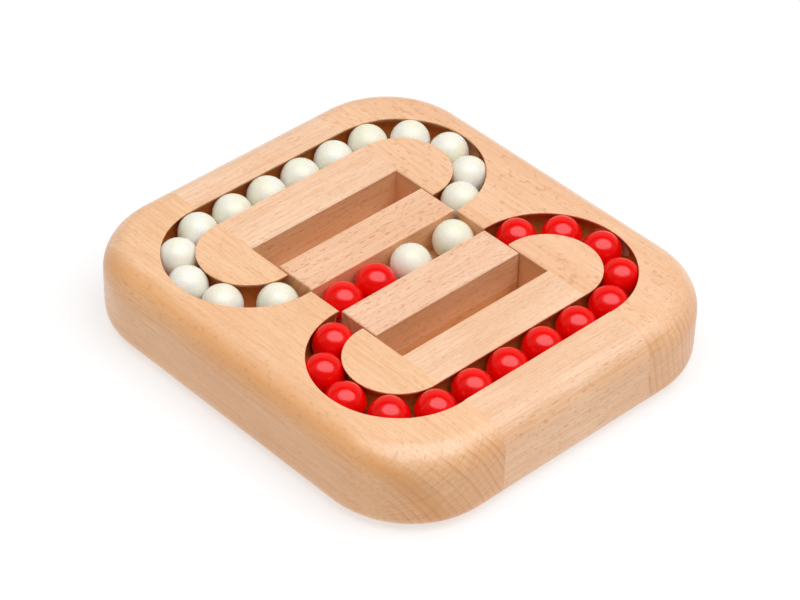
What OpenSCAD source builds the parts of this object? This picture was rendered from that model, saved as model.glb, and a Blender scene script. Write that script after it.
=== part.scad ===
// Two-loop bead shunting puzzle: a glued beech board with two racetrack lanes,
// a sliding shuttle that opens one loop at a time, and thirty-two loose beads.
// X runs along the shuttle bars, Y is the way the shuttle slides, Z is up.
// The origin is the middle of the underside.

/* [Beads] */
// Diameter of a bead
bead_d = 10; // [8:0.5:13]
// Clearance all round a bead in its lane
bead_play = 0.2; // [0.15:0.05:0.5]
// How much narrower a lane's mouth is than a bead, which keeps the beads in
mouth_grip = 1.9; // [1.5:0.1:3]
// Height of the straight-sided lip at a lane's mouth
lip_t = 0.3; // [0.1:0.05:0.6]

/* [Bead rows] */
// Spare length in each loop's lane once its beads are in
lane_play = 15.1; // [11:0.1:24]
// Spare length in the shuttle's channel once its beads are in
channel_play = 6; // [2:0.1:14]
// Gap between a row's end bead and the end of its lane
row_end_gap = 1.2; // [0.4:0.1:2]
// Gap between neighbours in the closely spaced white row
close_gap = 0.8; // [0.2:0.05:0.8]

/* [Loops] */
// Width of the flat-faced cusp between the two loops, at the top
cusp_w = 9.5; // [7:0.1:14]
// How far a lane runs straight past the shuttle's end before it bends
bend_run = 1.2; // [0.5:0.1:8]

/* [Shuttle] */
// Width of each shuttle bar
bar_w = 11.6; // [9.5:0.1:16]
// Clearance between the channel and a bead, both sides together
channel_play_w = 0.2; // [0.2:0.05:1]
// Thickness of the sole that joins the two bars
sole_t = 5; // [4:0.1:9]
// How far the sole's tongues reach under each end board
tongue_l = 4; // [2:0.1:7]
// Thickness of a tongue
tongue_t = 3; // [1.5:0.1:3.5]
// Clearance round the shuttle where it slides
slide_gap = 0.3; // [0.15:0.05:0.5]

/* [Board] */
// Wood outside the lanes at the board's two ends
rim_x = 8.4; // [6:0.1:16]
// Wood outside the lanes at the board's two sides
rim_y = 13.2; // [6:0.1:24]
// Thickness of the wood under the shuttle
floor_t = 7.2; // [4:0.1:14]
// Radius of the board's four corners, seen from above
corner_r = 23.7; // [14:0.1:28]
// Rounding of the upper edge
top_round = 7.3; // [2:0.1:8]
// Rounding of the lower edge
foot_round = 4.9; // [1:0.1:6]
// Small chamfer on the shuttle bars and round the well
edge_break = 0.3; // [0.1:0.05:0.6]

/* [Hidden] */
$fn = 96;

// The number of beads in each loop's lane and in the channel, which the node names follow
LANE_BEADS = 14;
CHANNEL_BEADS = 4;

// Overshoot of a cut past the face it opens
OVER = 1;

FRAME_NODES = [
    "left_end_board",
    "right_end_board",
    "side_board_a",
    "side_board_b",
    "centre_floor",
    "shuttle_sole",
    "shuttle_bar_a",
    "shuttle_bar_b"
];
ROW_COUNT = LANE_BEADS + CHANNEL_BEADS / 2;

// Sizes that come out of a root or of pi are made to a hundredth of a millimetre, so that
// faces placed by different sums still meet exactly
function hundredth(v) = round(v * 100) / 100;

// The lane is a round groove sunk so far that its mouth, under a straight lip, is narrower
// than a bead
lane_d = bead_d + 2 * bead_play;
lane_mouth = bead_d - mouth_grip;
lane_sink = hundredth(sqrt(pow(lane_d, 2) - pow(lane_mouth, 2)) / 2 + lip_t);
lane_depth = lane_sink + lane_d / 2;

// The shuttle's travel is the distance between the channel and a loop's inner straight
travel = (cusp_w + lane_mouth) / 2;
channel_w = bead_d + channel_play_w;
bar_out = channel_w / 2 + bar_w;
seat_l = CHANNEL_BEADS * bead_d + channel_play;
seat_x = seat_l / 2;
seat_y = bar_out + travel + slide_gap;
well_depth = lane_depth + sole_t + slide_gap;
shuttle_l = seat_l - 2 * slide_gap;

// Each lane's centreline: a racetrack with the shuttle's length taken out of it
arc_x = seat_x + bend_run;
straight_l = 2 * arc_x;
row_l = LANE_BEADS * bead_d;
bend_r = hundredth((row_l + lane_play - straight_l - 2 * bend_run) / (2 * PI));
bend_l = PI * bend_r;
lane_l = straight_l + 2 * bend_run + 2 * bend_l;
loop_y = travel + bend_r;

board_t = well_depth + floor_t;
lane_z = board_t - lane_sink;
well_z = board_t - well_depth;
tongue_z = well_z + slide_gap;
half_x = arc_x + bend_r + lane_mouth / 2 + rim_x;
half_y = loop_y + bend_r + lane_mouth / 2 + rim_y;
flat_x = half_x - corner_r;
flat_y = half_y - corner_r;
top_r = min(top_round, rim_x, rim_y);
foot_r = min(foot_round, rim_x, rim_y);

// Where the beads rest. Loop A's row starts at its +X end; loop B is loop A turned half a turn.
row_start = row_end_gap + bead_d / 2;
even_gap = (lane_l - row_l - 2 * row_end_gap) / (LANE_BEADS - 1);
// The channel's spare length as shares: the -X end, between beads 1-2, 2-3, 3-4, and the +X end
CHANNEL_SHARES = [0.5, 0.2, 1.2, 3.6, 0.5];

function bead_name(colour, i) = str("bead_", colour, "_", i < 10 ? "0" : "", i);

// The place along the lane of bead i in the close row, whose last bead stands apart
function close_row(i) =
    i < LANE_BEADS ? row_start + (i - 1) * (bead_d + close_gap) : lane_l - row_start;

// The place along the lane of bead i in the evenly spaced row
function even_row(i) = row_start + (i - 1) * (bead_d + even_gap);

function share_sum(i) = i < 0 ? 0 : CHANNEL_SHARES[i] + share_sum(i - 1);

// The place along X of bead i in the channel
function channel_row(i) =
    (i - 0.5) * bead_d - seat_x + channel_play * share_sum(i - 1) / share_sum(CHANNEL_BEADS);

// The point of loop A's centreline that lies s along it from its +X end
function lane_point(s) =
    s < bend_run ? [seat_x + s, travel]
    : s < bend_run + bend_l ? bend_point(arc_x, s - bend_run, 1)
    : s < bend_run + bend_l + straight_l
        ? [arc_x - (s - bend_run - bend_l), loop_y + bend_r]
    : s < bend_run + 2 * bend_l + straight_l
        ? bend_point(-arc_x, s - bend_run - bend_l - straight_l, -1)
    : [-arc_x + (s - bend_run - 2 * bend_l - straight_l), travel];

// A point t along a bend, which runs outwards at the +X end and back in at the -X end
function bend_point(x, t, out) =
    let (a = 180 * t / bend_l)
    [x + out * bend_r * sin(a), loop_y - out * bend_r * cos(a)];

// What a rounding takes off the outer corner of a profile, the corner being at the origin
module round_off(r) {
    translate([-r, -r])
        difference() {
            square(r + OVER);
            circle(r = r);
        }
}

// Half of the board's section, from y_in to y_out, with its outer edges rounded
module edge_profile(y_in, y_out) {
    difference() {
        translate([y_in, 0])
            square([y_out - y_in, board_t]);
        translate([y_out, board_t])
            round_off(top_r);
        translate([y_out, 0])
            mirror([0, 1])
                round_off(foot_r);
    }
}

// A length of that section laid along X from x0 to x1, on the +Y side
module edge_length(x0, x1, y_in) {
    translate([x0, 0, 0])
        rotate([90, 0, 90])
            linear_extrude(height = x1 - x0)
                edge_profile(y_in, half_y);
}

// The uncut end board on the +X side: a block with its outer edge rounded, widened to the
// board's sides beside the seam, and the two corners
module end_blank() {
    translate([0, flat_y, 0])
        rotate([90, 0, 0])
            linear_extrude(height = 2 * flat_y)
                edge_profile(seat_x, half_x);
    for (side = [0, 1])
        mirror([0, side, 0]) {
            edge_length(seat_x, flat_x, 0);
            translate([flat_x, flat_y, 0])
                rotate_extrude(angle = 90)
                    edge_profile(0, corner_r);
        }
}

// The section of a lane about its axis: a round groove and the mouth above it
module lane_profile() {
    circle(d = lane_d);
    translate([-lane_mouth / 2, 0])
        square([lane_mouth, lane_sink + OVER]);
}

// A straight length of lane along X
module lane_straight(x0, x1, y) {
    translate([x0, y, lane_z])
        rotate([90, 0, 90])
            linear_extrude(height = x1 - x0)
                lane_profile();
}

// The half ring that joins a loop's two straights at the +X end
module lane_bend(y) {
    translate([arc_x, y, lane_z])
        rotate([0, 0, -90])
            rotate_extrude(angle = 180)
                translate([bend_r, 0])
                    lane_profile();
}

// What a small chamfer takes off an upper edge that runs along X through the origin
module edge_cut(l) {
    rotate([45, 0, 0])
        cube([l, edge_break * sqrt(2), edge_break * sqrt(2)], center = true);
}

// An end board holds the bends of both loops, their D-shaped inner ends, the cusp between
// them and the groove that the shuttle's tongue slides in
module end_board() {
    difference() {
        end_blank();
        for (side = [-1, 1]) {
            lane_bend(side * loop_y);
            lane_straight(seat_x - OVER, arc_x, side * travel);
            lane_straight(seat_x - OVER, arc_x, side * (loop_y + bend_r));
        }
        translate([seat_x - OVER, -seat_y, well_z])
            cube([OVER + tongue_l + slide_gap, 2 * seat_y, tongue_t + 2 * slide_gap]);
        translate([seat_x, 0, board_t])
            rotate([0, 0, 90])
                edge_cut(2 * seat_y);
    }
}

module left_end_board() {
    color("burlywood")
        mirror([1, 0, 0])
            end_board();
}

module right_end_board() {
    color("burlywood")
        end_board();
}

// A side board carries a loop's outer straight and the inner bar beside the shuttle's well
module side_board() {
    difference() {
        edge_length(-seat_x, seat_x, seat_y);
        lane_straight(-seat_x - OVER, seat_x + OVER, loop_y + bend_r);
        translate([0, seat_y, board_t])
            edge_cut(seat_l + OVER);
    }
}

module side_board_a() {
    color("navajowhite")
        side_board();
}

module side_board_b() {
    color("navajowhite")
        mirror([0, 1, 0])
            side_board();
}

module centre_floor() {
    color("tan")
        translate([-seat_x, -seat_y, 0])
            cube([seat_l, 2 * seat_y, well_z]);
}

// The sole joins the bars, floors the channel and holds the shuttle down by its two tongues
module shuttle_sole() {
    color("tan")
        union() {
            translate([-shuttle_l / 2, -bar_out, tongue_z])
                cube([shuttle_l, 2 * bar_out, sole_t]);
            translate([-shuttle_l / 2 - tongue_l, -bar_out, tongue_z])
                cube([shuttle_l + 2 * tongue_l, 2 * bar_out, tongue_t]);
        }
}

// The section of a block with its two upper corners chamfered, from height low up to h
module eased_section(w, low, h) {
    polygon([
        [-w / 2, low],
        [w / 2, low],
        [w / 2, h - edge_break],
        [w / 2 - edge_break, h],
        [edge_break - w / 2, h],
        [-w / 2, h - edge_break]
    ]);
}

// A bar is what two chamfered sections have in common, one seen along X and one along Y
module shuttle_bar() {
    translate([0, channel_w / 2 + bar_w / 2, board_t - lane_depth])
        intersection() {
            rotate([90, 0, 90])
                linear_extrude(height = shuttle_l + OVER, center = true)
                    eased_section(bar_w, 0, lane_depth);
            rotate([90, 0, 0])
                linear_extrude(height = bar_w + OVER, center = true)
                    eased_section(shuttle_l, -OVER, lane_depth);
        }
}

module shuttle_bar_a() {
    color("peachpuff")
        shuttle_bar();
}

module shuttle_bar_b() {
    color("peachpuff")
        mirror([0, 1, 0])
            shuttle_bar();
}

module bead(at) {
    translate([at[0], at[1], lane_z])
        sphere(d = bead_d);
}

// White beads: loop A's row, then the two at the channel's +X end
module white_bead(i) {
    color("ivory")
        bead(i <= LANE_BEADS ? lane_point(close_row(i))
            : [channel_row(CHANNEL_BEADS / 2 + i - LANE_BEADS), 0]);
}

// Red beads: loop B's row, then the two at the channel's -X end
module red_bead(i) {
    color("crimson")
        bead(i <= LANE_BEADS ? -lane_point(even_row(i)) : [channel_row(i - LANE_BEADS), 0]);
}

left_end_board();
right_end_board();
side_board_a();
side_board_b();
centre_floor();
shuttle_sole();
shuttle_bar_a();
shuttle_bar_b();
for (i = [1:ROW_COUNT]) {
    white_bead(i);
    red_bead(i);
}
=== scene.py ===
"""Looks of the two-loop bead shunting puzzle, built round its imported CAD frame.

The board is five glued pieces of beech, the shuttle is three more, and thirty-two glossy
beads lie in the lanes. Seven of the wooden pieces are CAD boards with eased edges, and the
centre floor and the beads keep their CAD meshes. The beech is a solid procedural wood that
knows which way each piece's grain runs. Lengths are in metres, or in mm where a name or a
comment says so.
"""
import math

import bmesh
import bpy
from mathutils import Matrix, Vector


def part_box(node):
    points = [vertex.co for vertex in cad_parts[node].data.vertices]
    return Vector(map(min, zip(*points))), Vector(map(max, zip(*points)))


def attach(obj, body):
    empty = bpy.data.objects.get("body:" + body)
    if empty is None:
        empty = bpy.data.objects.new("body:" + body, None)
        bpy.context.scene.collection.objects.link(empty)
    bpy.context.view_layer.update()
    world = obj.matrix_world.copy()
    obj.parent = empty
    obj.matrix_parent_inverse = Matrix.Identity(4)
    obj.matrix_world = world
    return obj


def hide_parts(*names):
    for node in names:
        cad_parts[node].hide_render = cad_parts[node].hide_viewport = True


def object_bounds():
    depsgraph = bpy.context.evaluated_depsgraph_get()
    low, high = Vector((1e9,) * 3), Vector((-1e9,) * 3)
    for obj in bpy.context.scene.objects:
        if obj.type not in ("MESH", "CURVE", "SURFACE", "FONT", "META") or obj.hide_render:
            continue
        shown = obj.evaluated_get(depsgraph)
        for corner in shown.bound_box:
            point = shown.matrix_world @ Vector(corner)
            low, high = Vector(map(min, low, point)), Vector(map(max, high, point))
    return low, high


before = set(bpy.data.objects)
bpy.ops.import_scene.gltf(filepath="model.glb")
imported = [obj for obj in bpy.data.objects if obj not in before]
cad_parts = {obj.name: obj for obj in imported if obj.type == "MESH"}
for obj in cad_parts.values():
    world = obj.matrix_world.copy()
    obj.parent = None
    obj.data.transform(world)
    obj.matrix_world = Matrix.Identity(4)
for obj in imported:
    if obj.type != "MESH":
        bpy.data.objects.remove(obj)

MM = 0.001

cad_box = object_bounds()


# ---------------------------------------------------------------- camera and studio

FOCAL_MM = 137.2
SENSOR_MM = 36.0
VIEW_AZIMUTH = -43.85
VIEW_ELEVATION = 39.34
VIEW_ROLL = 1.5
VIEW_DISTANCE = 0.6978
# The point the camera looks at, on the board's upper face, from the middle of the board
AIM_X = -0.01011
AIM_Y = -0.01115
CLIP_START = 0.01
CLIP_END = 20

# One big elliptical softbox, almost straight overhead, and where it stands from the board
SOFTBOX_TOWARDS = Vector((0.0, -0.21, 0.97))
SOFTBOX_DISTANCE = 1.0
SOFTBOX_WIDTH = 1.7
SOFTBOX_HEIGHT = 1.1
SOFTBOX_WATTS = 13.2
# The softbox is a little cool and the whole room a little warm
COOL_WHITE = (0.98, 1.0, 1.06)
WARM_WHITE = (1.0, 0.88, 0.72)


def direction(azimuth, elevation):
    """The unit vector towards an azimuth and elevation in degrees; azimuth 0 is -Y."""
    a, e = math.radians(azimuth), math.radians(elevation)
    return Vector((math.sin(a) * math.cos(e), -math.cos(a) * math.cos(e), math.sin(e)))


def view_axes():
    """The camera's right, up and back vectors, rolled."""
    back = direction(VIEW_AZIMUTH, VIEW_ELEVATION)
    right = (-back).cross(Vector((0, 0, 1))).normalized()
    up = right.cross(-back)
    roll = math.radians(VIEW_ROLL)
    return (
        right * math.cos(roll) + up * math.sin(roll),
        up * math.cos(roll) - right * math.sin(roll),
        back,
    )


def make_camera(aim):
    """The scene's camera, VIEW_DISTANCE from the aim."""
    right, up, back = view_axes()
    data = bpy.data.cameras.new("camera")
    data.sensor_width = SENSOR_MM
    data.lens = FOCAL_MM
    data.clip_start = CLIP_START
    data.clip_end = CLIP_END
    camera = bpy.data.objects.new("camera", data)
    bpy.context.scene.collection.objects.link(camera)
    place = Matrix((right, up, back)).transposed().to_4x4()
    place.translation = aim + back * VIEW_DISTANCE
    camera.matrix_world = place
    bpy.context.scene.camera = camera


def make_softbox(aim):
    """A soft elliptical light that faces the aim, its width along the picture's right."""
    data = bpy.data.lights.new("softbox", "AREA")
    data.shape = "ELLIPSE"
    data.size, data.size_y = SOFTBOX_WIDTH, SOFTBOX_HEIGHT
    data.energy = SOFTBOX_WATTS
    data.color = COOL_WHITE
    lamp = bpy.data.objects.new("softbox", data)
    bpy.context.scene.collection.objects.link(lamp)
    back = SOFTBOX_TOWARDS.normalized()
    right = view_axes()[0]
    side = (right - back * right.dot(back)).normalized()
    place = Matrix((side, back.cross(side), back)).transposed().to_4x4()
    place.translation = aim + back * SOFTBOX_DISTANCE
    lamp.matrix_world = place


# ---------------------------------------------------------------- shader nodes


class Shader:
    """Short ways to add shader nodes and join them up."""

    def __init__(self, tree):
        self.tree = tree

    def add(self, kind, **settings):
        node = self.tree.nodes.new(kind)
        for key, value in settings.items():
            setattr(node, key, value)
        return node

    def join(self, value, socket):
        if isinstance(value, bpy.types.NodeSocket):
            self.tree.links.new(value, socket)
        elif value is not None:
            socket.default_value = value

    def math(self, operation, a, b=None, c=None, clamp=False):
        node = self.add("ShaderNodeMath", operation=operation, use_clamp=clamp)
        for value, socket in zip((a, b, c), node.inputs):
            self.join(value, socket)
        return node.outputs[0]

    def vector(self, operation, a, b=None, scale=None):
        node = self.add("ShaderNodeVectorMath", operation=operation)
        self.join(a, node.inputs[0])
        self.join(b, node.inputs[1])
        self.join(scale, node.inputs[3])
        return node.outputs[1 if operation == "DOT_PRODUCT" else 0]

    def length(self, a, b):
        """The length of a vector with those two parts."""
        return self.math("SQRT", self.math("ADD", self.math("MULTIPLY", a, a),
                                           self.math("MULTIPLY", b, b)))

    def split(self, vector):
        node = self.add("ShaderNodeSeparateXYZ")
        self.join(vector, node.inputs[0])
        return node.outputs[0], node.outputs[1], node.outputs[2]

    def combine(self, x, y, z):
        node = self.add("ShaderNodeCombineXYZ")
        for value, socket in zip((x, y, z), node.inputs):
            self.join(value, socket)
        return node.outputs[0]

    def noise(self, vector, detail=2.0, roughness=0.5):
        """Smooth noise of about one bump per unit of the vector, from 0 to 1."""
        node = self.add("ShaderNodeTexNoise")
        self.join(vector, node.inputs["Vector"])
        node.inputs["Scale"].default_value = 1.0
        node.inputs["Detail"].default_value = detail
        node.inputs["Roughness"].default_value = roughness
        return node.outputs["Fac"]

    def step(self, value, low, high, out_low=0.0, out_high=1.0):
        """A smooth step from out_low at low to out_high at high."""
        node = self.add("ShaderNodeMapRange", interpolation_type="SMOOTHSTEP")
        for place, setting in enumerate((value, low, high, out_low, out_high)):
            self.join(setting, node.inputs[place])
        return node.outputs[0]

    def mix(self, share, a, b, blend="MIX"):
        node = self.add("ShaderNodeMix", data_type="RGBA", blend_type=blend)
        self.join(share, node.inputs[0])
        self.join(a, node.inputs[6])
        self.join(b, node.inputs[7])
        return node.outputs[2]

    def bump(self, height, strength, distance):
        node = self.add("ShaderNodeBump")
        self.join(height, node.inputs["Height"])
        node.inputs["Strength"].default_value = strength
        node.inputs["Distance"].default_value = distance
        return node.outputs["Normal"]


def new_material(name):
    """An empty material with a Principled shader joined to its output."""
    material = bpy.data.materials.new(name)
    material.use_nodes = True
    tree = material.node_tree
    tree.nodes.clear()
    sh = Shader(tree)
    surface = sh.add("ShaderNodeBsdfPrincipled")
    output = sh.add("ShaderNodeOutputMaterial")
    tree.links.new(surface.outputs[0], output.inputs[0])
    return material, sh, surface


def srgb(red, green, blue):
    """A linear colour from 0-255 display values."""
    def linear(value):
        value /= 255
        return value / 12.92 if value <= 0.04045 else ((value + 0.055) / 1.055) ** 2.4
    return (linear(red), linear(green), linear(blue), 1.0)


# ---------------------------------------------------------------- beech

# The object axis that a piece's grain runs along
GRAIN_X = "x"
GRAIN_Y = "y"

RING_BROWN = srgb(194, 132, 78)
FLECK_BROWN = srgb(204, 138, 94)
STRAND_BROWN = srgb(232, 172, 122)
STREAK_ORANGE = srgb(233, 168, 104)
# The wood's tone is multiplied by these: on its end grain for the end grain's own colour, and as
# painted shade on its upright faces and down in the routed lanes and well
END_TINT = srgb(252, 250, 246)
UPRIGHT_SHADE_TINT = srgb(251, 241, 225)
LANE_SHADE_TINT = srgb(208, 154, 96)
WELL_SHADE_TINT = srgb(255, 255, 250)


class Pattern:
    """A noise in the wood, and how it comes to show in the tone.

    per_mm is its bumps per mm along each axis of the place it is asked for, detail and
    roughness are the noise's own, and it shows from the noise value starts to full."""

    def __init__(self, per_mm, detail, roughness, starts, full):
        self.per_mm = per_mm
        self.detail = detail
        self.roughness = roughness
        self.starts = starts
        self.full = full

    def noise(self, sh, place):
        return sh.noise(sh.vector("MULTIPLY", place, self.per_mm), self.detail, self.roughness)

    def shown(self, sh, noise, share=1.0):
        return sh.step(noise, self.starts, self.full, 0.0, share)


# Along the grain, across it, and up
BLOTCH = Pattern((0.022, 0.085, 0.085), 2.0, 0.5, 0.36, 0.66)
CLOUD = Pattern((0.10, 0.28, 0.28), 2.0, 0.5, 0.42, 0.70)
FIBRE = Pattern((0.09, 2.6, 2.6), 3.0, 0.6, 0.40, 0.64)
STRAND = Pattern((0.06, 1.6, 1.6), 3.0, 0.65, 0.46, 0.66)
BLOTCH_SHARE = 0.5
CLOUD_SHARE = 0.30
FIBRE_SHARE = 0.44
STRAND_SHARE = 0.42
# Rays are thin ribbons that stand along the radius: dashes on the face, lines on the end.
# Along the grain, round the pith, and outward from it
RAY = Pattern((0.55, 3.6, 0.8), 1.5, 0.45, 0.59, 0.70)
FINE_RAY = Pattern((0.8, 4.5, 0.7), 1.0, 0.5, 0.58, 0.74)
END_RAY = Pattern((0.2, 2.1, 0.11), 1.0, 0.5, 0.50, 0.68)
FINE_RAY_SHARE = 0.5
END_RAY_SHARE = 0.26
END_FLECK_SHARE = 0.35

# Growth rings: how far the slow and quick waviness move them, in mm, and the dark late wood
# at the end of each ring, which deepens as a power of the way across it
SLOW_WARP = (0.013, 0.05, 0.05)
SLOW_WARP_MM = 2.6
QUICK_WARP = (0.06, 0.32, 0.32)
QUICK_WARP_MM = 0.25
LATE_POWER = 3.0
LATE_ENDS = 0.86
LATE_STRENGTH = 2.2
# Each ring's strength is drawn between this and 1
WEAKEST_RING = 0.25
RING_END_SHARE = 0.36
STREAK_SHARE = 0.7

# What a piece's seed shifts its patterns by, in mm along each axis, and its rays
SEED_SHIFTS = (31.7, 17.3, 11.1)
RAY_SEED_SHIFT = 7.9

# How squarely a face looks along the grain for it to start and finish turning to end grain,
# and how level it is for it to start and finish taking the painted shade of upright faces
END_STARTS, END_FULL = 0.35, 0.9
UPRIGHT_SHADE_STARTS, UPRIGHT_SHADE_FULL = 0.85, 0.30

# The radius of the board's corners, how far in from its outline the routed part starts, the
# depths between which the painted shade of the routed lanes comes in, the height it stops at
# above the underside, and how far past the centre floor's box the well's painted shade goes
CORNER_R_MM = 23.7
ROUTED_INSET_MM = 8.0
RECESS_SHADE_STARTS_MM = 0.25
RECESS_SHADE_FULL_MM = 1.8
ROUTED_FOOT_MM = 1.0
WELL_MARGIN_MM = 0.4

WOOD_ROUGHNESS = 0.30
FIBRE_ROUGHNESS = 0.18
END_ROUGHNESS = 0.08
RAY_RELIEF = 0.5
RING_RELIEF = 0.25
RELIEF_STRENGTH = 0.25
RELIEF_MM = 0.04
WOOD_IOR = 1.45
COAT_WEIGHT = 0.4
COAT_ROUGHNESS = 0.22


class Beech:
    """What sets one piece of beech apart from the next. Places and lengths are in mm."""

    def __init__(self, name, grain, pith, seed, light, dark, ring_gap=1.6, ring_face=0.10,
                 fleck=0.42, streak=None):
        self.name = name
        self.grain = grain
        self.pith = pith
        self.seed = seed
        self.light = light
        self.dark = dark
        self.ring_gap = ring_gap
        self.ring_face = ring_face
        self.fleck = fleck
        self.streak = streak


def grain_frame(sh, vector, grain):
    """(along, across, up) of an object-space vector, for a piece whose grain runs that way."""
    x, y, z = sh.split(vector)
    return (x, y, z) if grain == GRAIN_X else (y, x, z)


def seeded_place(sh, wood, place):
    """The place in mm, shifted by the piece's seed so that no two pieces share a pattern."""
    return sh.combine(*(
        sh.math("ADD", part, wood.seed * shift) for part, shift in zip(place, SEED_SHIFTS)))


def beech_rings(sh, wood, place, seeded):
    """(line strength, wavy distance from the pith, arc length round it) of the growth rings."""
    slow = sh.noise(sh.vector("MULTIPLY", seeded, SLOW_WARP), 1.0)
    quick = sh.noise(sh.vector("MULTIPLY", seeded, QUICK_WARP), 1.0)
    over = sh.math("SUBTRACT", place[1], wood.pith[0])
    rise = sh.math("SUBTRACT", place[2], wood.pith[1])
    radius = sh.length(over, rise)
    arc = sh.math("MULTIPLY", sh.math("ARCTAN2", rise, over), math.hypot(*wood.pith))
    warped = sh.math("ADD", radius, sh.math("MULTIPLY", slow, SLOW_WARP_MM))
    warped = sh.math("ADD", warped, sh.math("MULTIPLY", quick, QUICK_WARP_MM))
    phase = sh.math("DIVIDE", warped, wood.ring_gap)
    part = sh.math("FRACT", phase)
    late = sh.math("MULTIPLY", sh.math("POWER", part, LATE_POWER),
                   sh.step(part, 1.0, LATE_ENDS))
    chance = sh.add("ShaderNodeTexWhiteNoise", noise_dimensions="1D")
    sh.join(sh.math("ADD", sh.math("FLOOR", phase), wood.seed), chance.inputs["W"])
    weight = sh.math("MULTIPLY_ADD", chance.outputs["Value"], 1 - WEAKEST_RING, WEAKEST_RING)
    strength = sh.math("MULTIPLY", sh.math("MULTIPLY", late, LATE_STRENGTH), weight)
    return strength, warped, arc


def plain_tone(sh, wood, seeded, fibre):
    """The wood's colour before its rings and rays: from light to dark in patches and fibres."""
    blotch = BLOTCH.shown(sh, BLOTCH.noise(sh, seeded), BLOTCH_SHARE)
    tone = sh.mix(blotch, wood.light, wood.dark)
    tone = sh.mix(CLOUD.shown(sh, CLOUD.noise(sh, seeded), CLOUD_SHARE), tone, wood.dark)
    tone = sh.mix(FIBRE.shown(sh, fibre, FIBRE_SHARE), tone, wood.dark)
    strand = STRAND.shown(sh, STRAND.noise(sh, seeded), STRAND_SHARE)
    return sh.mix(strand, tone, STRAND_BROWN)


def add_streak(sh, wood, tone, radius):
    """An orange-brown band that follows the growth rings at one radius."""
    place, width = wood.streak
    off = sh.math("ABSOLUTE", sh.math("SUBTRACT", radius, place))
    return sh.mix(sh.step(off, width, 0.0, 0.0, STREAK_SHARE), tone, STREAK_ORANGE)


def add_rings(sh, wood, tone, ring, end_grain):
    """Darkens the late wood of each growth ring, most on the end grain."""
    share = sh.step(end_grain, 0.0, 1.0, wood.ring_face, RING_END_SHARE)
    return sh.mix(sh.math("MULTIPLY", ring, share, clamp=True), tone, RING_BROWN)


def add_rays(sh, wood, tone, ray_place, rays, end_grain):
    """Draws the rays as dashes on the faces, and as fine lines on the end grain."""
    share = sh.step(end_grain, 0.0, 1.0, wood.fleck, wood.fleck * END_FLECK_SHARE)
    tone = sh.mix(sh.math("MULTIPLY", rays, share), tone, FLECK_BROWN)
    fine = FINE_RAY.shown(sh, FINE_RAY.noise(sh, ray_place))
    fine_share = sh.math("MULTIPLY", share, FINE_RAY_SHARE)
    tone = sh.mix(sh.math("MULTIPLY", fine, fine_share), tone, FLECK_BROWN)
    ends = END_RAY.shown(sh, END_RAY.noise(sh, ray_place), END_RAY_SHARE)
    return sh.mix(sh.math("MULTIPLY", ends, end_grain), tone, FLECK_BROWN)


def add_tint(sh, tone, share, tint):
    """The tone, multiplied by a tint for that share."""
    return sh.mix(share, tone, sh.mix(1.0, tone, tint, "MULTIPLY"))


def add_recess_shade(sh, mm, tone):
    """Painted shade: darkens the tone down in the routed lanes, and a little less in the well."""
    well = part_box("centre_floor")[1] / MM
    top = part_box("side_board_a")[1].z / MM
    x, y, z = sh.split(mm)
    x, y = sh.math("ABSOLUTE", x), sh.math("ABSOLUTE", y)
    over_x = sh.math("MAXIMUM", sh.math("SUBTRACT", x, cad_box[1].x / MM - CORNER_R_MM), 0.0)
    over_y = sh.math("MAXIMUM", sh.math("SUBTRACT", y, cad_box[1].y / MM - CORNER_R_MM), 0.0)
    inside = sh.math("LESS_THAN", sh.length(over_x, over_y), CORNER_R_MM - ROUTED_INSET_MM)
    below = sh.step(z, top - RECESS_SHADE_STARTS_MM, top - RECESS_SHADE_FULL_MM)
    above = sh.math("GREATER_THAN", z, ROUTED_FOOT_MM)
    lane_shade_share = sh.math("MULTIPLY", inside, sh.math("MULTIPLY", below, above))
    in_well = sh.math("MULTIPLY", sh.math("LESS_THAN", x, well.x + WELL_MARGIN_MM),
                      sh.math("LESS_THAN", y, well.y + WELL_MARGIN_MM))
    return add_tint(sh, tone, lane_shade_share, sh.mix(in_well, LANE_SHADE_TINT, WELL_SHADE_TINT))


def finish_wood(sh, surface, fibre, rays, ring, end_grain):
    """The grain's roughness and relief, under a thin clear coat."""
    rough = sh.math("MULTIPLY_ADD", fibre, FIBRE_ROUGHNESS, WOOD_ROUGHNESS)
    rough = sh.math("ADD", rough, sh.math("MULTIPLY", end_grain, END_ROUGHNESS))
    sh.join(rough, surface.inputs["Roughness"])
    relief = sh.math("SUBTRACT", fibre, sh.math("MULTIPLY", rays, RAY_RELIEF))
    relief = sh.math("SUBTRACT", relief, sh.math("MULTIPLY", ring, RING_RELIEF))
    sh.join(sh.bump(relief, RELIEF_STRENGTH, RELIEF_MM * MM), surface.inputs["Normal"])
    surface.inputs["IOR"].default_value = WOOD_IOR
    surface.inputs["Coat Weight"].default_value = COAT_WEIGHT
    surface.inputs["Coat Roughness"].default_value = COAT_ROUGHNESS


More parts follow.
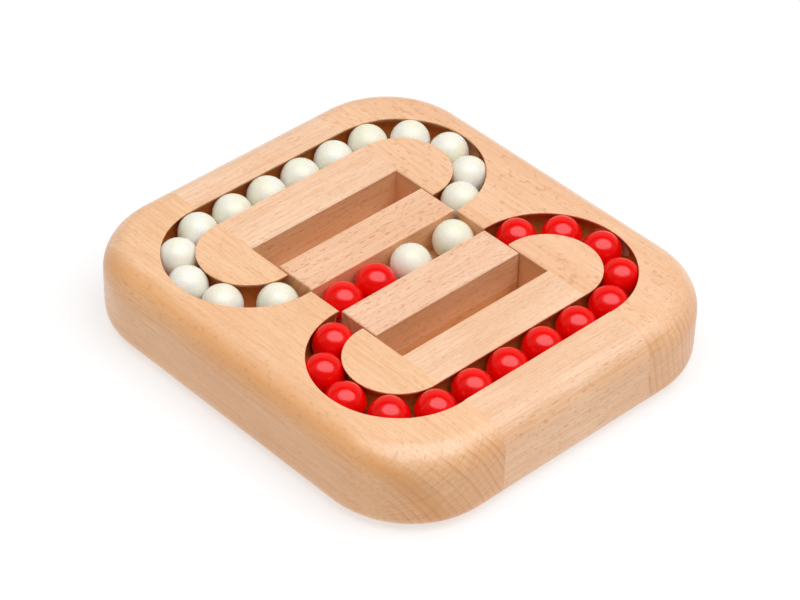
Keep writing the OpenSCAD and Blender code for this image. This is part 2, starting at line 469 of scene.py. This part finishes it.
def make_beech(wood):
    """The material of one wooden piece."""
    material, sh, surface = new_material(wood.name)
    coords = sh.add("ShaderNodeTexCoord")
    mm = sh.vector("SCALE", coords.outputs["Object"], scale=1 / MM)
    place = grain_frame(sh, mm, wood.grain)
    facing, _, lift = grain_frame(sh, coords.outputs["Normal"], wood.grain)
    end_grain = sh.step(sh.math("ABSOLUTE", facing), END_STARTS, END_FULL)
    seeded = seeded_place(sh, wood, place)
    ring, radius, arc = beech_rings(sh, wood, place, seeded)
    ray_place = sh.combine(sh.math("ADD", place[0], wood.seed * RAY_SEED_SHIFT), arc, radius)
    rays = RAY.shown(sh, RAY.noise(sh, ray_place))
    fibre = FIBRE.noise(sh, seeded)

    tone = plain_tone(sh, wood, seeded, fibre)
    if wood.streak:
        tone = add_streak(sh, wood, tone, radius)
    tone = add_rings(sh, wood, tone, ring, end_grain)
    tone = add_rays(sh, wood, tone, ray_place, rays, end_grain)
    tone = add_tint(sh, tone, end_grain, END_TINT)
    # Painted shade: upright faces are darkened against the top
    side = sh.step(sh.math("ABSOLUTE", lift), UPRIGHT_SHADE_STARTS, UPRIGHT_SHADE_FULL)
    tone = add_tint(sh, tone, side, UPRIGHT_SHADE_TINT)
    # Painted shade in the routed lanes and the well
    sh.join(add_recess_shade(sh, mm, tone), surface.inputs["Base Color"])
    finish_wood(sh, surface, fibre, rays, ring, end_grain)
    return material


def beech_kinds():
    """The beech of each wooden piece, which sets its grain, rings and tone."""
    return {
        "left_end_board": Beech(
            "beech_left_end", GRAIN_Y, (-173.0, -70.0), 1.0,
            srgb(250, 207, 165), srgb(238, 183, 137), streak=(153.4, 4.2), fleck=0.30),
        "right_end_board": Beech(
            "beech_right_end", GRAIN_Y, (100.0, 22.0), 2.0,
            srgb(250, 207, 169), srgb(237, 184, 142), ring_gap=1.9, ring_face=0.04, fleck=0.38),
        "side_board_a": Beech(
            "beech_side_a", GRAIN_X, (62.0, -70.0), 3.0, srgb(253, 219, 187), srgb(241, 194, 156)),
        "side_board_b": Beech(
            "beech_side_b", GRAIN_X, (-38.0, 80.0), 4.0, srgb(252, 216, 183), srgb(236, 188, 148)),
        "centre_floor": Beech(
            "beech_floor", GRAIN_X, (10.0, -60.0), 5.0, srgb(244, 200, 154), srgb(228, 174, 126)),
        "shuttle_sole": Beech(
            "beech_sole", GRAIN_X, (-14.0, 70.0), 6.0, srgb(240, 194, 148), srgb(226, 170, 122)),
        "shuttle_bar_a": Beech(
            "beech_bar_a", GRAIN_X, (70.0, 40.0), 7.0,
            srgb(249, 208, 174), srgb(237, 186, 149), ring_gap=2.2, fleck=0.6),
        "shuttle_bar_b": Beech(
            "beech_bar_b", GRAIN_X, (-60.0, 55.0), 8.0,
            srgb(250, 212, 182), srgb(239, 191, 156), ring_gap=2.2, fleck=0.6),
    }


# ---------------------------------------------------------------- beads

# Bumps per mm of the drift in tone, the specks and the ripples
DRIFT_PER_MM = 0.13
SPECK_PER_MM = 2.4
RIPPLE_PER_MM = 0.9
SPECK_SHARE = 0.25
# The least and most roughness of the enamel, as shares of its own
SMOOTHEST, ROUGHEST = 0.8, 1.35
RIPPLE_STRENGTH = 0.05
RIPPLE_MM = 0.05
BEAD_IOR = 1.5
SCATTER_RADIUS = (1.0, 0.8, 0.5)
SCATTER_MM = 1.5

def make_bead_material(name, light, dark, roughness, depth):
    """Glossy bead enamel: a tone that drifts over each bead and a faintly uneven surface.
    The depth is the share of light that scatters under the surface."""
    material, sh, surface = new_material(name)
    coords = sh.add("ShaderNodeTexCoord")
    mm = sh.vector("SCALE", coords.outputs["Object"], scale=1 / MM)
    drift = sh.noise(sh.vector("SCALE", mm, scale=DRIFT_PER_MM), 2.0)
    speck = sh.noise(sh.vector("SCALE", mm, scale=SPECK_PER_MM), 3.0, 0.6)
    tone = sh.mix(sh.step(drift, 0.3, 0.7), light, dark)
    tone = sh.mix(sh.step(speck, 0.6, 0.8, 0.0, SPECK_SHARE), tone, dark)
    sh.join(tone, surface.inputs["Base Color"])
    rough = sh.step(speck, 0.3, 0.75, roughness * SMOOTHEST, roughness * ROUGHEST)
    sh.join(rough, surface.inputs["Roughness"])
    ripple = sh.noise(sh.vector("SCALE", mm, scale=RIPPLE_PER_MM), 1.0)
    sh.join(sh.bump(ripple, RIPPLE_STRENGTH, RIPPLE_MM * MM), surface.inputs["Normal"])
    surface.inputs["IOR"].default_value = BEAD_IOR
    surface.inputs["Subsurface Weight"].default_value = depth
    surface.inputs["Subsurface Radius"].default_value = SCATTER_RADIUS
    surface.inputs["Subsurface Scale"].default_value = SCATTER_MM * MM
    return material


def dress_beads():
    """Gives each bead its colour's material."""
    white = make_bead_material(
        "bead_enamel_white", srgb(246, 245, 233), srgb(243, 240, 217), 0.26, 0.75)
    red = make_bead_material(
        "bead_enamel_red", srgb(246, 7, 5), srgb(237, 4, 3), 0.17, 0.0)
    for name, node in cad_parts.items():
        if name.startswith("bead_"):
            set_material(node, white if "white" in name else red)


def set_material(obj, material):
    """Makes this the object's only material."""
    obj.data.materials.clear()
    obj.data.materials.append(material)


# ---------------------------------------------------------------- wooden pieces

WELD = 0.002 * MM
FLAT_ANGLE = math.radians(0.4)
EDGE_ANGLE = math.radians(24)
SMOOTH_ANGLE = math.radians(34)
BEVEL_STEPS = 3
NORMAL_WEIGHT = 100
# How far each piece's edges are eased, and how near is on a plane
BOARD_EASE = 0.18 * MM
SHUTTLE_EASE = 0.12 * MM
NEAR = 0.01 * MM
# Flat faces are made whole above this depth under the board's top, or all over the shuttle
LIP_DEPTH = 0.35 * MM
EVERYWHERE = -1.0


def node_mesh(name, whole_above):
    """A bmesh of a CAD node with its split corners joined, and with the triangles of each
    flat face above a height made into one face. Those faces have no holes."""
    mesh = bmesh.new()
    mesh.from_mesh(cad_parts[name].data)
    bmesh.ops.remove_doubles(mesh, verts=mesh.verts, dist=WELD)
    edges = [e for e in mesh.edges
             if all(v.co.z > whole_above for f in e.link_faces for v in f.verts)]
    bmesh.ops.dissolve_limit(
        mesh, angle_limit=FLAT_ANGLE, verts=[], edges=edges, use_dissolve_boundaries=False)
    mesh.normal_update()
    return mesh


def outer_edges(mesh, keep):
    """The mesh's sharp convex edges that keep() takes, given an edge's two ends."""
    return [e for e in mesh.edges
            if len(e.link_faces) == 2 and e.is_convex
            and e.calc_face_angle(0) > EDGE_ANGLE and keep(e.verts[0].co, e.verts[1].co)]


def ease(mesh, edges, width):
    """Rounds the edges, by a width measured from each edge along its faces."""
    bmesh.ops.bevel(
        mesh, geom=edges, offset=width, offset_type="OFFSET", segments=BEVEL_STEPS,
        profile=0.5, affect="EDGES", clamp_overlap=False, miter_outer="ARC")


def mark_sharp(mesh):
    """Makes every face smooth and every edge sharp where the faces turn by a real angle."""
    mesh.normal_update()
    for face in mesh.faces:
        face.smooth = True
    for edge in mesh.edges:
        edge.smooth = len(edge.link_faces) == 2 and edge.calc_face_angle(math.pi) < SMOOTH_ANGLE


def wooden_piece(node, body, material, width, whole_above, keep):
    """A piece that stands for a CAD board: its mesh with the kept edges eased."""
    name = node + "_wood"
    mesh = node_mesh(node, whole_above)
    ease(mesh, outer_edges(mesh, keep), width)
    mark_sharp(mesh)
    data = bpy.data.meshes.new(name)
    mesh.to_mesh(data)
    mesh.free()
    inherited = data.attributes.get("custom_normal")
    if inherited:
        data.attributes.remove(inherited)
    piece = bpy.data.objects.new(name, data)
    bpy.context.scene.collection.objects.link(piece)
    normals = piece.modifiers.new("even_normals", "WEIGHTED_NORMAL")
    normals.keep_sharp = True
    normals.weight = NORMAL_WEIGHT
    set_material(piece, material)
    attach(piece, body)
    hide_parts(node)


def build_wood():
    """Every wooden piece with its beech, and the centre floor's beech on its CAD node."""
    board_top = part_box("side_board_a")[1].z
    seam_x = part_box("side_board_a")[1].x
    lips = board_top - LIP_DEPTH

    def on_top(a, b):
        """Upper edges of the board, apart from the glued seams."""
        in_seam = abs(abs(a.x) - seam_x) < NEAR and abs(abs(b.x) - seam_x) < NEAR
        return min(a.z, b.z) > board_top - NEAR and not in_seam

    def anywhere(a, b):
        """Every edge of the shuttle's pieces."""
        return True

    for node, wood in beech_kinds().items():
        material = make_beech(wood)
        if node.startswith("shuttle"):
            wooden_piece(node, "shuttle", material, SHUTTLE_EASE,
                         EVERYWHERE, anywhere)
        elif node == "centre_floor":
            set_material(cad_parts[node], material)
        else:
            wooden_piece(node, "board", material, BOARD_EASE, lips, on_top)


# ---------------------------------------------------------------- floor and room

FLOOR_DARK = (0.38, 0.38, 0.38, 1)
FLOOR_PALE = (0.42, 0.42, 0.42, 1)
FLOOR_GRAIN = 600.0
FLOOR_ROUGHNESS = 0.9
FLOOR_SPECULAR = 0.1
FLOOR_GLOW = 0.60
FLOOR_REACH = 6.0
FLOOR_DROP = 0.05 * MM

# The room's brightness from the level beyond the object, at 0, over the top, at 0.5, to the
# level behind the camera, at 1
ROOM_LEVELS = ((0.0, 0.42), (0.235, 0.42), (0.265, 0.06), (0.36, 0.05), (0.385, 0.42),
               (0.60, 0.32), (0.74, 0.08), (0.95, 0.08))


def make_floor():
    """A plain near-white floor at the object's foot."""
    material, sh, surface = new_material("studio_floor")
    coords = sh.add("ShaderNodeTexCoord")
    grain = sh.noise(sh.vector("SCALE", coords.outputs["Object"], scale=FLOOR_GRAIN), 2.0)
    sh.join(sh.mix(grain, FLOOR_DARK, FLOOR_PALE), surface.inputs["Base Color"])
    surface.inputs["Roughness"].default_value = FLOOR_ROUGHNESS
    surface.inputs["Specular IOR Level"].default_value = FLOOR_SPECULAR
    surface.inputs["Emission Color"].default_value = (1, 1, 1, 1)
    surface.inputs["Emission Strength"].default_value = FLOOR_GLOW
    reach = FLOOR_REACH
    data = bpy.data.meshes.new("floor")
    data.from_pydata(
        [(-reach, -reach, 0), (reach, -reach, 0), (reach, reach, 0), (-reach, reach, 0)],
        [], [(0, 1, 2, 3)])
    floor = bpy.data.objects.new("floor", data)
    bpy.context.scene.collection.objects.link(floor)
    set_material(floor, material)
    floor.location.z = cad_box[0].z - FLOOR_DROP


def make_world():
    """A dim room, paler at the horizon beyond the object, with a dark gap above that."""
    world = bpy.data.worlds.new("studio")
    world.use_nodes = True
    tree = world.node_tree
    tree.nodes.clear()
    sh = Shader(tree)
    away = direction(VIEW_AZIMUTH + 180, 0)
    coords = sh.add("ShaderNodeTexCoord")
    ahead = sh.vector("DOT_PRODUCT", coords.outputs["Generated"], tuple(away))
    up = sh.split(coords.outputs["Generated"])[2]
    turn = sh.math("DIVIDE", sh.math("ARCTAN2", up, ahead), math.pi)
    ramp = sh.add("ShaderNodeValToRGB")
    sh.join(turn, ramp.inputs[0])
    while len(ramp.color_ramp.elements) < len(ROOM_LEVELS):
        ramp.color_ramp.elements.new(0.5)
    for element, (place, level) in zip(ramp.color_ramp.elements, ROOM_LEVELS):
        element.position = place
        element.color = (*(level * share for share in WARM_WHITE), 1)
    sky = sh.add("ShaderNodeBackground")
    sh.join(ramp.outputs[0], sky.inputs["Color"])
    sky.inputs["Strength"].default_value = 1.0
    output = sh.add("ShaderNodeOutputWorld")
    tree.links.new(sky.outputs[0], output.inputs[0])
    bpy.context.scene.world = world


def make_studio():
    """The room, floor, softbox and camera round the board's upper face."""
    make_world()
    make_floor()
    board_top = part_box("side_board_a")[1].z
    aim = Vector((0, 0, board_top))
    make_softbox(aim)
    make_camera(aim + Vector((AIM_X, AIM_Y, 0)))
    # Blender's default view transform can't reach colours this pale and this saturated
    bpy.context.scene.view_settings.view_transform = "Standard"


make_studio()
build_wood()
dress_beads()
